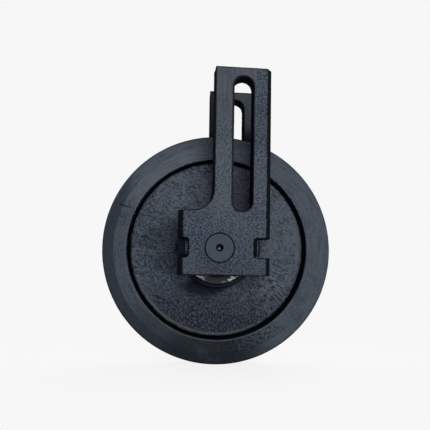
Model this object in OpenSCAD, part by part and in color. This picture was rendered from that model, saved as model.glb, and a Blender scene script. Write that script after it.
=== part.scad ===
// Front idler of a small crawler excavator: a cast wheel that turns on a fixed shaft,
// between two brackets with slotted guide arms. Lengths are in millimetres.
// The wheel turns about Y, the arms point up along Z, and the origin is the wheel's centre.

/* [Wheel] */
// Diameter of the tread that the track runs on
wheel_d = 334; // [326:1:376]
// Width of the rim over its two machined side faces
rim_w = 56; // [50:1:62]
// Diameter of the inner edge of each side face
rim_face_d = 262; // [250:1:270]
// Width of the flat land on each side face
rim_land_w = 19; // [12:0.5:22]
// Slope of the taper outside the land, in degrees
rim_slope = 20; // [8:1:24]
// Radius of the shoulder between taper and tread
tread_round = 8; // [3:0.5:9]
// Width of the cast groove between rim and web
groove_w = 6.5; // [5:0.5:9]
// Depth of that groove below the side face
groove_depth = 16; // [15:0.5:20]
// How far the lip of the web lies below the side face
lip_drop = 5; // [3:0.5:5.5]
// Radius of that lip
lip_round = 7; // [4:0.5:7.5]
// How far the web rises from its lip to the foot of the hub
web_rise = 6; // [3:0.5:9]
// Radius of the hollow at the foot of the hub
hub_fillet = 8; // [4:0.5:9]

/* [Hub] */
// Width of the bare machined ring on the end of the hub
hub_face_w = 9; // [6:0.5:12]
// Radial width of the bevel round that ring
hub_bevel_w = 2.5; // [1.5:0.5:5]
// Length of that bevel along the axis
hub_bevel_l = 6; // [3:0.5:8]
// Width of the flat step outside the bevel
hub_step_w = 3; // [2:0.5:5]
// How far the hub's cast wall spreads towards its foot
hub_draft = 2.5; // [1:0.5:5]
// Gap between the end of the hub and the bracket
hub_gap = 4; // [3:0.5:6]
// Depth of the oil space behind the bore, between the bushes
oil_depth = 3; // [1.5:0.5:5]

/* [Shaft] */
// Diameter of the shaft
shaft_d = 40; // [36:0.5:44]
// How far each shaft end lies inside the bracket's outer face
shaft_inset = 0.5; // [0.2:0.1:2]
// Chamfer on the shaft ends
shaft_chamfer = 1; // [0.5:0.1:2]
// Diameter of the lathe centre at the shaft end
centre_d = 10.5; // [8:0.5:12]
// Diameter of its pilot hole
centre_pilot_d = 5; // [3:0.5:6]
// Depth of the lathe centre
centre_depth = 9; // [8:0.5:10]

/* [Bushes and seals] */
// Wall of each flanged bush
bush_wall = 4; // [3:0.5:5]
// Length of the bush behind its flange
bush_l = 20; // [14:1:22]
// Thickness of the bush flange
bush_flange_t = 3.5; // [2.5:0.25:4]
// How far the flange stands out from the bush
bush_flange_w = 3; // [2:0.25:3.5]
// Length of each metal seal ring along the axis
seal_l = 9; // [8.5:0.25:10]
// Thickness of the seal ring's flange at its edge
seal_flange_t = 3.2; // [2.8:0.1:3.6]
// Thickness of the seal ring's tail
seal_tail_t = 2.4; // [2:0.1:3]
// Width of the sealing band
seal_band_w = 5.5; // [4:0.5:6]
// Section of the rubber toric behind each seal ring
toric_d = 5.6; // [5:0.1:6.2]
// Section of the rubber ring between shaft and bracket
oring_d = 2.6; // [2:0.1:3.2]
// Wall of the bracket's collar round the seal
collar_wall = 5.5; // [4:0.5:7]
// Length of that collar
collar_l = 8; // [6:0.5:9]
// Wall of the bracket's nose inside the seal
nose_wall = 4; // [3:0.25:5]

/* [Bracket] */
// Width over the outer faces of the two brackets
overall_w = 180; // [176:1:200]
// Thickness of each bracket
bracket_t = 38; // [35:1:42]
// Distance from the axis to the left guide face
block_left = 58; // [56:1:64]
// Distance from the axis to the right guide face
block_right = 71; // [68:1:80]
// Distance from the axis down to the foot of the block
block_drop = 38.5; // [34:0.5:50]
// Height of the block's shoulder above the axis, at the inner face
shoulder_h = 53; // [48:1:64]
// Distance from the axis to the left side of the arm, at the inner face
arm_left = 10; // [8:0.5:16]
// Height of the arm's end above the axis, on its right
arm_top = 252.5; // [248:0.5:300]
// How much higher the arm's end is on its left
arm_rise = 2; // [0.5:0.5:5]
// Radius of the hollow between arm and shoulder, at the inner face
arm_fillet = 28; // [16:1:32]
// How far the arm's left side and the shoulder draw in towards the outer face
arm_draft = 1; // [0.5:0.5:4]
// Width of the bevel on each guide side
bevel_w = 6.5; // [3:0.5:9]
// Length of that bevel along the axis
bevel_l = 14; // [8:0.5:18]
// Chamfer at the mouth of the shaft's bore
bore_chamfer = 0.8; // [0.4:0.1:1.5]

/* [Slot] */
// Distance from the axis sideways to the middle of the slot
slot_x = 31; // [28:0.5:34]
// Width of the slot
slot_w = 26.5; // [20:0.5:30]
// Height of the slot's lower end above the axis
slot_low = 51; // [46:0.5:70]
// Height of the slot's upper end above the axis
slot_high = 240; // [180:0.5:241]

/* [Lock bolt] */
// Thread size of the bolt across bracket and shaft
bolt_d = 14; // [12:1:16]
// Distance from the axis to the floor of the left notch, under the nut
nut_floor = 43.5; // [42:0.5:47]
// Distance from the axis to the floor of the right notch, under the bolt head
head_floor = 47.5; // [44:0.5:52]
// Radius in the corners of the notch floors
notch_round = 3; // [1:0.5:5]
// Thickness of the spring washer under the nut
washer_t = 3.5; // [2.5:0.5:4.5]
// Width of the cut through the spring washer
washer_slit = 2; // [1:0.5:3]

/* [Clearances] */
// Radial running clearance of the bush on the shaft
running_gap = 0.05; // [0.02:0.01:0.1]
// Radial clearance of the shaft in the brackets
seat_gap = 0.02; // [0.01:0.01:0.05]
// Clearance left at pressed faces
press_gap = 0.01; // [0.01:0.01:0.03]
// Gap between the two faces of a seal
face_gap = 0.05; // [0.02:0.01:0.1]
// End play between the bracket's nose and the bush flange
end_play = 0.3; // [0.1:0.1:0.5]
// Radial gap between the collar and the hub
labyrinth_gap = 1; // [0.5:0.1:2]
// Gap between the notches and the turning corners of bolt head and nut
notch_gap = 0.3; // [0.2:0.1:1]
// Radial clearance of the lock bolt in its hole
bolt_gap = 0.25; // [0.1:0.05:0.5]

/* [Hidden] */
$fn = 96;

// Colours
paint_black = [0.13, 0.15, 0.18];
bolt_black = [0.08, 0.09, 0.10];
bronze = [0.72, 0.53, 0.27];
bright_steel = [0.66, 0.67, 0.68];
rubber = [0.05, 0.05, 0.05];

// How far a cutter runs past the face that it opens
over = 1;

// Small gaps inside the seal
seal_side_gap = 1;
seal_end_gap = 0.5;
seal_lead = 1;
toric_slack = 0.3;
toric_gap = 0.1;
toric_back_gap = 0.7;

// Radii from the shaft outwards
shaft_r = shaft_d / 2;
bracket_bore_r = shaft_r + seat_gap;
bush_in_r = shaft_r + running_gap;
bush_out_r = bush_in_r + bush_wall;
bush_flange_r = bush_out_r + bush_flange_w;
nose_r = shaft_r + nose_wall;
seal_in_r = nose_r + seal_side_gap;
seal_ramp_w = seal_tail_t / 2;
toric_r = seal_in_r + seal_tail_t + seal_ramp_w / 2 + toric_slack + toric_d / 2;
seal_seat_r = toric_r + toric_d / 2 + toric_gap;
seal_out_r = seal_seat_r - seal_side_gap;
collar_r = seal_seat_r + collar_wall;
labyrinth_r = collar_r + labyrinth_gap;
hub_face_r = labyrinth_r + hub_face_w;
hub_bevel_r = hub_face_r + hub_bevel_w;
hub_r = hub_bevel_r + hub_step_w;
hub_root_r = hub_r + hub_draft;
wheel_r = wheel_d / 2;
rim_face_r = rim_face_d / 2;
land_r = rim_face_r + rim_land_w;
lip_r = rim_face_r - groove_w;
groove_round = 0.49 * groove_w;
edge_round = 1;

// Distances out from the middle plane of the wheel
face_out = overall_w / 2;
face_in = face_out - bracket_t;
shaft_end = face_out - shaft_inset;
hub_end = face_in - hub_gap;
collar_end = face_in - collar_l;
seal_plane = collar_end - seal_lead;
labyrinth_floor = seal_plane - seal_lead;
toric_b = seal_flange_t + toric_back_gap + toric_d / 2;
seal_depth = max(seal_l, toric_b + toric_d / 2) + seal_end_gap;
seal_floor = seal_plane + seal_depth;
flange_face = seal_plane - seal_depth;
flange_seat = flange_face - bush_flange_t;
bush_start = flange_seat - bush_l;
nose_end = flange_face + end_play;
rim_half = rim_w / 2;
taper_drop = (wheel_r - land_r) * tan(rim_slope);
lip_level = rim_half - lip_drop;
groove_floor = rim_half - groove_depth;
web_root = lip_level + web_rise;

// Lock bolt across each bracket: head, nut and notches follow the thread size
bolt_plane = face_in + bracket_t / 2;
hex_flats = 1.5 * bolt_d + 1;
hex_r = hex_flats / 2 / cos(30);
hex_face_r = 0.95 * hex_flats / 2;
hex_bevel = (hex_r + over - hex_face_r) * tan(30);
bolt_head_h = 0.63 * bolt_d;
nut_h = 0.9 * bolt_d;
bolt_tail = 0.1 * bolt_d;
washer_r = 0.86 * bolt_d;
notch_h = 2 * (hex_r + notch_gap);
spot_r = hex_r + notch_gap / 2;
nut_seat = nut_floor + washer_t;
bolt_end = nut_seat + nut_h + bolt_tail;

// Rubber ring in the shaft, between the bracket's inner face and the lock bolt
oring_plane = (face_in + bolt_plane - bolt_d / 2) / 2;
oring_groove_w = oring_d + 1;
oring_play = 0.06;
oring_groove_r = bracket_bore_r - oring_d - oring_play;

// Lathe centre with a mouth of 60 degrees
centre_cone_l = (centre_d - centre_pilot_d) / 2 / tan(30);

// Place of a corner [x, y, radius], and the direction from one corner to another
function place(corner) = [corner[0], corner[1]];
function toward(a, b) = (place(b) - place(a)) / norm(place(b) - place(a));

// Corners next to corner i of a closed outline
function before(c, i) = c[(i + len(c) - 1) % len(c)];
function after(c, i) = c[(i + 1) % len(c)];

// Half of the angle inside corner i
function half_angle(c, i) = acos(toward(c[i], before(c, i)) * toward(c[i], after(c, i))) / 2;

// Centre of the round at corner i, and the path of straight edges through that centre
function round_centre(c, i) =
    let (way = toward(c[i], before(c, i)) + toward(c[i], after(c, i)))
    place(c[i]) + way / norm(way) * c[i][2] / sin(half_angle(c, i));
function round_path(c, i) =
    c[i][2] == 0 ? [place(c[i])] :
    let (reach = c[i][2] / tan(half_angle(c, i)))
    [place(c[i]) + toward(c[i], before(c, i)) * reach,
        round_centre(c, i),
        place(c[i]) + toward(c[i], after(c, i)) * reach];

// True where an anticlockwise outline bends outwards at corner i
function bulges(c, i) = cross(place(c[i]) - place(before(c, i)), place(after(c, i)) - place(c[i])) > 0;

// Full circle of the round at corner i
module corner_round(c, i)
    translate(round_centre(c, i))
        circle(r = c[i][2]);

// Closed outline of anticlockwise corners [x, y, radius], rounded with true arcs
module rounded_outline(c) {
    rounds = [for (i = [0 : len(c) - 1]) if (c[i][2] > 0) i];
    difference() {
        union() {
            polygon([for (i = [0 : len(c) - 1]) each round_path(c, i)]);
            for (i = rounds) if (bulges(c, i)) corner_round(c, i);
        }
        for (i = rounds) if (!bulges(c, i)) corner_round(c, i);
    }
}

// Corners of one side, followed by their mirror image beyond the middle plane
function both_sides(c) = concat(c, [for (i = [len(c) - 1 : -1 : 0]) [c[i][0], -c[i][1], c[i][2]]]);

// Children drawn with y upwards and z outwards from the wheel, set on the front or the rear
module on_front() rotate([90, 0, 0]) children();
module on_rear() mirror([0, 1, 0]) on_front() children();

// Tube about z between two radii and two levels
module tube(in_r, out_r, low, high)
    rotate_extrude()
        translate([in_r, low])
            square([out_r - in_r, high - low]);

// Side of the wheel from tread to bore, as [radius, distance out, round]
wheel_side = [
    [wheel_r, rim_half - taper_drop, tread_round],
    [land_r, rim_half, 0],
    [rim_face_r, rim_half, edge_round],
    [rim_face_r, groove_floor, groove_round],
    [lip_r, groove_floor, groove_round],
    [lip_r, lip_level, lip_round],
    [hub_root_r, web_root, hub_fillet],
    [hub_r, hub_end - hub_bevel_l, edge_round],
    [hub_bevel_r, hub_end - hub_bevel_l, 0],
    [hub_face_r, hub_end, 0],
    [labyrinth_r, hub_end, 0],
    [labyrinth_r, labyrinth_floor, 0],
    [seal_seat_r, labyrinth_floor, 0],
    [seal_seat_r, flange_seat, 0],
    [bush_out_r + press_gap, flange_seat, 0],
    [bush_out_r + press_gap, bush_start, 0],
    [bush_out_r + oil_depth, bush_start, 0]
];

// Cast wheel with machined rim, plain web and bored hub
module idler_wheel()
    color(paint_black)
        on_front()
            rotate_extrude()
                rounded_outline(both_sides(wheel_side));

// Flanged bush, pressed into the hub
module bush()
    color(bronze)
        rotate_extrude()
            polygon([
                [bush_in_r, bush_start],
                [bush_out_r, bush_start],
                [bush_out_r, flange_seat],
                [bush_flange_r, flange_seat],
                [bush_flange_r, flange_face],
                [bush_in_r, flange_face]
            ]);

// Metal seal ring, its sealing face near z = 0 and its tail upwards
module seal_ring()
    color(bright_steel)
        rotate_extrude()
            polygon([
                [seal_in_r, seal_ramp_w],
                [seal_out_r - seal_band_w, face_gap / 2],
                [seal_out_r, face_gap / 2],
                [seal_out_r, seal_flange_t],
                [seal_in_r + seal_tail_t + seal_ramp_w, seal_flange_t + seal_lead],
                [seal_in_r + seal_tail_t, seal_l],
                [seal_in_r, seal_l]
            ]);

// Rubber ring of round section about z
module rubber_ring(ring_r, section_d)
    color(rubber)
        rotate_extrude()
            translate([ring_r, 0])
                circle(d = section_d);

// Toric that presses a seal ring against its mate
module toric()
    translate([0, 0, toric_b])
        rubber_ring(toric_r, toric_d);

// Half of the face seal that turns with the wheel, and half that stays in the bracket
module wheel_half() translate([0, 0, seal_plane]) mirror([0, 0, 1]) children();
module bracket_half() translate([0, 0, seal_plane]) children();

// Rubber ring in the shaft's groove
module shaft_oring()
    translate([0, 0, oring_plane])
        rubber_ring(bracket_bore_r - oring_play / 2 - oring_d / 2, oring_d);

// Hole for the lock bolt, across the axis
module bolt_hole(length)
    translate([0, 0, bolt_plane])
        rotate([0, 90, 0])
            cylinder(r = bolt_d / 2 + bolt_gap, h = length, center = true);

// Side of the shaft from its ring groove to its lathe centre, as [radius, distance out]
shaft_side = [
    [shaft_r, oring_plane - oring_groove_w / 2],
    [oring_groove_r, oring_plane - oring_groove_w / 2],
    [oring_groove_r, oring_plane + oring_groove_w / 2],
    [shaft_r, oring_plane + oring_groove_w / 2],
    [shaft_r, shaft_end - shaft_chamfer],
    [shaft_r - shaft_chamfer, shaft_end],
    [centre_d / 2, shaft_end],
    [centre_pilot_d / 2, shaft_end - centre_cone_l],
    [centre_pilot_d / 2, shaft_end - centre_depth],
    [0, shaft_end - centre_depth]
];

// Fixed shaft with two ring grooves, two cross holes and a lathe centre at each end
module shaft()
    color(paint_black)
        difference() {
            on_front()
                rotate_extrude()
                    polygon([for (p = both_sides(shaft_side)) place(p)]);
            on_front() bolt_hole(shaft_d + 2 * over);
            on_rear() bolt_hole(shaft_d + 2 * over);
        }

// Guide slot with round ends
module slot_outline() {
    for (low = [slot_low, slot_high - slot_w])
        translate([slot_x, low + slot_w / 2])
            circle(d = slot_w);
    translate([slot_x - slot_w / 2, slot_low + slot_w / 2])
        square([slot_w, slot_high - slot_low - slot_w]);
}

// Side notch for the bolt head or the nut, open towards +x
module notch_outline(notch_floor) {
    mouth = max(block_left, block_right) + over;
    rounded_outline([
        [notch_floor, notch_h / 2, notch_round],
        [notch_floor, -notch_h / 2, notch_round],
        [mouth, -notch_h / 2, 0],
        [mouth, notch_h / 2, 0]
    ]);
}

// Spot face that seats the bolt head or the washer flat on the floor of its notch
module spot_face(notch_floor)
    translate([notch_floor, 0, bolt_plane])
        rotate([0, 90, 0])
            cylinder(r = spot_r, h = notch_round + over);

// Block, arm and the corner between them, before draft and hollow
module bracket_outline()
    difference() {
        union() {
            translate([-block_left, -block_drop])
                square([block_left + block_right, block_drop + shoulder_h]);
            polygon([
                [-arm_left, 0],
                [block_right, 0],
                [block_right, arm_top],
                [-arm_left, arm_top + arm_rise]
            ]);
            translate([-arm_left - arm_fillet, 0])
                square([arm_fillet + over, shoulder_h + arm_fillet]);
        }
        slot_outline();
        notch_outline(head_floor);
        mirror([1, 0]) notch_outline(nut_floor);
    }

// Wedge that draws a side in by width over length, up to the outer face. The side is the
// plane x = 0 with its metal towards +x, and the wedge stands from low to high.
module draft_wedge(width, length, low, high)
    translate([0, high, face_out])
        rotate([90, 0, 0])
            linear_extrude(high - low)
                polygon([
                    [-over, -length * (1 + over / width)],
                    [width * (1 + over / length), over],
                    [-over, over]
                ]);

// Draft of the arm's left side, of the hollow and of the shoulder, guide bevels and spot faces
module bracket_cuts() {
    hollow_h = shoulder_h + arm_fillet;
    arm_h = arm_top + arm_rise + over;
    past = arm_draft * over / bracket_t;
    translate([-arm_left, 0, 0])
        draft_wedge(arm_draft, bracket_t, hollow_h, arm_h);
    translate([-arm_left - arm_fillet, hollow_h, face_in - over])
        cylinder(r1 = arm_fillet - past, r2 = arm_fillet + arm_draft + past, h = bracket_t + 2 * over);
    translate([0, shoulder_h, 0])
        rotate([0, 0, -90])
            draft_wedge(arm_draft, bracket_t, -block_left - over, -arm_left - arm_fillet);
    translate([-block_left, 0, 0])
        draft_wedge(bevel_w, bevel_l, -block_drop - over, shoulder_h + over);
    translate([block_right, 0, 0])
        mirror([1, 0, 0])
            draft_wedge(bevel_w, bevel_l, -block_drop - over, arm_h);
    spot_face(head_floor);
    mirror([1, 0, 0]) spot_face(nut_floor);
}

// Bracket with guide arm, block, seal collar and nose
module bracket() {
    mouth_l = bore_chamfer + over;
    color(paint_black)
        difference() {
            union() {
                difference() {
                    translate([0, 0, face_in])
                        linear_extrude(bracket_t)
                            bracket_outline();
                    bracket_cuts();
                    translate([0, 0, face_in - over])
                        cylinder(r = seal_seat_r, h = seal_floor - face_in + over);
                }
                tube(seal_seat_r, collar_r, collar_end, face_in + over);
                tube(bracket_bore_r, nose_r, nose_end, seal_floor + over);
            }
            translate([0, 0, face_in])
                cylinder(r = bracket_bore_r, h = bracket_t + over);
            translate([0, 0, face_out - bore_chamfer])
                cylinder(r1 = bracket_bore_r, r2 = bracket_bore_r + mouth_l, h = mouth_l);
            bolt_hole(block_left + block_right + 2 * over);
        }
}

// Six-sided bar along x with its far end chamfered
module hex_bar(length)
    rotate([0, 90, 0])
        intersection() {
            cylinder(r = hex_r, h = length, $fn = 6);
            rotate_extrude()
                polygon([
                    [0, -over],
                    [hex_r + over, -over],
                    [hex_r + over, length - hex_bevel],
                    [hex_face_r, length],
                    [0, length]
                ]);
        }

// Lock bolt with its head in the right notch
module lock_bolt()
    color(bolt_black)
        translate([0, 0, bolt_plane]) {
            translate([head_floor, 0, 0])
                hex_bar(bolt_head_h);
            translate([-bolt_end, 0, 0])
                rotate([0, 90, 0])
                    cylinder(d = bolt_d, h = bolt_end + head_floor + over);
        }

// Nut in the left notch
module lock_nut()
    color(bolt_black)
        translate([-nut_seat, 0, bolt_plane])
            mirror([1, 0, 0])
                difference() {
                    hex_bar(nut_h);
                    translate([-over, 0, 0])
                        rotate([0, 90, 0])
                            cylinder(r = bolt_d / 2 + press_gap, h = nut_h + 2 * over);
                }

// Spring washer under the nut, cut through on a slant
module lock_washer()
    color(bolt_black)
        translate([-nut_seat, 0, bolt_plane])
            rotate([0, 90, 0])
                difference() {
                    tube(bolt_d / 2 + bolt_gap, washer_r, 0, washer_t);
                    translate([washer_r / 2, 0, washer_t / 2])
                        rotate([25, 0, 0])
                            cube([washer_r + 2 * over, washer_slit, 3 * washer_t], center = true);
                }

idler_wheel();
on_front() bush();  // bush_front
on_rear() bush();  // bush_rear
on_front() wheel_half() seal_ring();  // wheel_seal_ring_front
on_rear() wheel_half() seal_ring();  // wheel_seal_ring_rear
on_front() wheel_half() toric();  // wheel_toric_front
on_rear() wheel_half() toric();  // wheel_toric_rear
on_front() bracket();  // bracket_front
on_rear() bracket();  // bracket_rear
shaft();
on_front() bracket_half() seal_ring();  // bracket_seal_ring_front
on_rear() bracket_half() seal_ring();  // bracket_seal_ring_rear
on_front() bracket_half() toric();  // bracket_toric_front
on_rear() bracket_half() toric();  // bracket_toric_rear
on_front() shaft_oring();  // shaft_oring_front
on_rear() shaft_oring();  // shaft_oring_rear
on_front() lock_bolt();  // lock_bolt_front
on_rear() lock_bolt();  // lock_bolt_rear
on_front() lock_nut();  // lock_nut_front
on_rear() lock_nut();  // lock_nut_rear
on_front() lock_washer();  // lock_washer_front
on_rear() lock_washer();  // lock_washer_rear
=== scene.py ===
"""Dressed front idler of a small crawler excavator, laid out as an add-on.

Each operator makes one piece, or one group of like pieces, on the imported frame. Lengths are in metres.
The wheel turns about Y, the guide arms point up along Z and the front bracket faces -Y.
"""

import math

import bmesh
import bpy
from bpy.props import FloatProperty, FloatVectorProperty, IntProperty, PointerProperty
from bpy.types import Operator, Panel, PropertyGroup
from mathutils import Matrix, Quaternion, Vector, noise


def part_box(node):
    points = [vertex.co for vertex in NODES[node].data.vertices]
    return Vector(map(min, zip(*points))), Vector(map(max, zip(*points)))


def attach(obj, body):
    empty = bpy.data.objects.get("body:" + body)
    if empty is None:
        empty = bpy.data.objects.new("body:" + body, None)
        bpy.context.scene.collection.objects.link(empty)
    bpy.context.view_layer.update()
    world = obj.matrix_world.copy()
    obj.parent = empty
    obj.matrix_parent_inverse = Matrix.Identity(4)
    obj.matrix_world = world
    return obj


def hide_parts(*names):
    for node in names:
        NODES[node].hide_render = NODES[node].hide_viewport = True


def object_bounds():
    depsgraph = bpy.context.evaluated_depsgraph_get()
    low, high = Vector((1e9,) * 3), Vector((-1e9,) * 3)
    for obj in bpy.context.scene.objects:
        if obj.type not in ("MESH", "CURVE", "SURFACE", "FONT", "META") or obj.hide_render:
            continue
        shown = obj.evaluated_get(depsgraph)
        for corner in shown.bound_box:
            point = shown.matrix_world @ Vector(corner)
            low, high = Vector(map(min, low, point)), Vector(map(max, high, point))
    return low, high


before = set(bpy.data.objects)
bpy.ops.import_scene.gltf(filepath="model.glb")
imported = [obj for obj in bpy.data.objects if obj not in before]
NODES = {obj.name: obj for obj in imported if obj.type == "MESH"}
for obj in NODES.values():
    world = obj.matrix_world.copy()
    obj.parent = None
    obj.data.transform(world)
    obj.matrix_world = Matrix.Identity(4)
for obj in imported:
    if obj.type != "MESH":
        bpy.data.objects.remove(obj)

bl_info = {
    "name": "Excavator front idler",
    "version": (1, 0, 0),
    "blender": (4, 5, 0),
    "location": "View3D > Sidebar > Idler",
    "description": "Builds the dressed front idler on its packed frame",
    "category": "Object",
}

CAD_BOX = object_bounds()
WHEEL_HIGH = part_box("idler_wheel")[1]
BOLT_LOW, BOLT_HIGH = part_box("lock_bolt_front")
NUT_LOW, NUT_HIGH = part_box("lock_nut_front")
SHAFT_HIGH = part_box("shaft")[1]
BUSH_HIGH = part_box("bush_front")[1]
SIDES = ("front", "rear")

# Finishes of the wheel, in the order of its material slots
TURNED, CAST, BARE = range(3)

# Specular level of the satin paint
SATIN = 0.07

# Facets round bolts and nuts, and their round end faces as a share of the width across flats
FACETS = 72
FACE_SHARE = 0.95

# Spots on the faces, as x and z of the middle and the reach in x and z. arm_bright, web_light_low,
# web_light_high and rim_bright place painted light; arm_dim, web_left, web_behind_arm, web_foot, rim_foot
# and rim_low place painted shade; centre_glint places a painted glint.
SPOTS = {
    "arm_olive": (0.0, 0.10, 0.035, 0.08),
    "arm_bright": (0.031, 0.10, 0.06, 0.06),
    "arm_dim": (0.06, 0.17, 0.03, 0.05),
    "web_left": (-0.075, 0.002, 0.045, 0.05),
    "web_behind_arm": (0.035, 0.085, 0.025, 0.05),
    "web_calm": (0.1, 0.01, 0.05, 0.08),
    "web_brushed": (0.066, -0.062, 0.06, 0.05),
    "web_light_low": (0.07, -0.06, 0.06, 0.05),
    "web_light_high": (-0.05, 0.075, 0.07, 0.05),
    "web_foot": (-0.02, -0.055, 0.04, 0.017),
    "rim_foot": (-0.01, -0.150, 0.10, 0.05),
    "rim_low": (-0.05, -0.145, 0.15, 0.10),
    "rim_bright": (-0.085, 0.115, 0.11, 0.08),
    "rim_gritty": (0.055, -0.132, 0.075, 0.04),
    "rim_cracked": (-0.135, 0.072, 0.022, 0.022),
    "hub_dark_bottom": (-0.005, -0.046, 0.019, 0.02),
    "centre_glint": (0.0, -0.0012, 0.0021, 0.0019),
}

# Straight marks on the wheel, between two places as x and z, and their width
WEB_RUB = ((-0.122, -0.0025), (-0.066, -0.005), 0.0009)
RIM_HAIR = ((-0.1445, 0.0635), (-0.1235, 0.0575), 0.0009)


def setting(make, **fixed):
    """Maker of one kind of property, from its name, description and default."""

    def made(name, description, default):
        return make(name=name, description=description, default=default, **fixed)

    return made


length = setting(FloatProperty, precision=5, unit="LENGTH")
angle = setting(FloatProperty, unit="ROTATION")
focal = setting(FloatProperty, unit="CAMERA")
power = setting(FloatProperty, unit="POWER")
share = setting(FloatProperty, min=0, max=1, subtype="FACTOR")
colour = setting(FloatVectorProperty, size=3, min=0, max=1, subtype="COLOR")
location = setting(FloatVectorProperty, unit="LENGTH")
direction = setting(FloatVectorProperty, subtype="DIRECTION")


class WheelSizes(PropertyGroup):
    """Sizes of the wheel, as in its solid except for the groove's width and the web's lip"""

    tread_radius: length("Tread radius", "Radius of the tread that the track runs on", WHEEL_HIGH.z)
    rim_half: length("Half rim", "Distance of the rim's side face from the middle plane", 0.028)
    taper_drop: length("Taper drop", "How far the taper falls back from land to tread", 0.00619)
    tread_round: length("Tread round", "Radius of the shoulder between taper and tread", 0.008)
    land_radius: length("Land radius", "Outer radius of the flat land on the rim", 0.150)
    face_radius: length("Face radius", "Inner radius of the rim's side face", 0.131)
    edge_round: length("Edge round", "Radius of the rim's inner edge", 0.001)
    groove_width: length("Groove width", "Width of the cast groove, its lip as the photo shows it", 0.0049)
    groove_depth: length("Groove depth", "Depth of the groove below the side face", 0.016)
    lip_drop: length("Lip drop", "How far the web's lip lies below the side face", 0.005)
    lip_round: length("Lip round", "Radius of the web's lip, a little crisper than the solid's", 0.004)
    web_rise: length("Web rise", "How far the web rises from lip to hub", 0.006)
    root_radius: length("Root radius", "Radius of the hub's cast wall at its foot", 0.0575)
    hub_fillet: length("Hub fillet", "Radius of the hollow at the foot of the hub", 0.008)
    hub_radius: length("Hub radius", "Radius of the hub's cast wall at its step", 0.055)
    step_radius: length("Step radius", "Inner radius of the flat step round the hub's end", 0.052)
    bevel_length: length("Bevel length", "Length of the bevel between step and end", 0.006)
    hub_face: length("Hub face", "Outer radius of the bare ring on the hub's end", 0.0495)
    hub_end: length("Hub end", "Distance of the hub's end from the middle plane", WHEEL_HIGH.y)
    collar_bore: length("Collar bore", "Radius of the bore round the bracket's collar", 0.0405)
    collar_floor: length("Collar floor", "Distance of that bore's floor from the middle plane", 0.042)
    seal_bore: length("Seal bore", "Radius of the bore round the face seal", 0.034)
    flange_seat: length("Flange seat", "Distance of the bush flange's seat from the middle", 0.0295)
    bush_bore: length("Bush bore", "Radius of the bore that the bush is pressed into", 0.02406)
    bush_start: length("Bush start", "Distance of the bush's inner end from the middle", -BUSH_HIGH.y)
    oil_radius: length("Oil radius", "Radius of the oil space between the bushes", 0.02705)
    tool_round: length("Tool round", "Small round that a lathe tool leaves on every other edge", 0.0004)
    skin_depth: length("Skin depth", "Depth of the cast skin's lumps", 0.0004)
    skin_sway: length("Skin sway", "Depth of the web's slow unevenness", 0.0005)
    ragged: length("Ragged edge", "How far the groove's cast edge wanders", 0.0007)
    bead: length("Bead", "Height of the bead along the lower half of the web's lip", 0.001)
    lean: length("Lean", "How far the web's lip leans into the groove at the top", 0.0012)
    segments: IntProperty(name="Segments", description="Facets round the wheel", default=336, min=48)


class BracketFinish(PropertyGroup):
    """How the brackets' castings are meshed and roughened"""

    mesh_step: length("Mesh step", "Distance between points of the casting's skin", 0.0011)
    ease_passes: IntProperty(name="Easing", description="Passes that ease the cast edges", default=4, min=0)
    skin_depth: length("Skin depth", "Depth of the cast skin's lumps", 0.0002)
    bore_room: length("Bore room", "Clearance left round the shaft", 0.00025)
    seat_radius: length("Seat radius", "Radius within which the machined seal seat stays smooth", 0.041)
    seat_plane: length("Seat plane", "Distance of the machined seat from the middle plane", 0.0525)
    inner_face: length("Inner face", "Distance of the inner face from the middle plane", 0.052)
    outer_face: length("Outer face", "Distance of the outer face from the middle plane", 0.090)
    hollow_x: length("Hollow x", "Middle of the hollow between arm and shoulder, sideways", -0.038)
    hollow_z: length("Hollow z", "Middle of that hollow, upwards", 0.081)
    hollow_inner: length("Hollow inner", "Radius of the hollow at the inner face", 0.028)
    hollow_outer: length("Hollow outer", "Radius of the hollow at the outer face", 0.029)
    slot_x: length("Slot x", "Middle of the guide slot, sideways", 0.031)
    slot_low: length("Slot low", "Middle of the slot's lower round end", 0.06425)
    slot_high: length("Slot high", "Middle of the slot's upper round end", 0.22675)
    slot_radius: length("Slot radius", "Radius of the slot's round ends", 0.01325)
    block_foot: length("Block foot", "Height of the block's lower edge", -0.0385)
    facet_error: length("Facet error", "How far a facet of the solid may lie from its true arc", 0.00045)


class BoltSizes(PropertyGroup):
    """Sizes of the lock bolts and nuts"""

    flats: length("Across flats", "Width of head and nut across two flats", NUT_HIGH.z - NUT_LOW.z)
    head_height: length("Head height", "Height of the bolt's head", 0.00882)
    thread_radius: length("Thread radius", "Outer radius of the thread", 0.007)
    pitch: length("Pitch", "Rise of the thread in one turn", 0.002)
    thread_depth: length("Thread depth", "Depth of the thread", 0.0011)
    washer_face: length("Washer face", "Height of the round face under the head", 0.0004)


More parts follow.
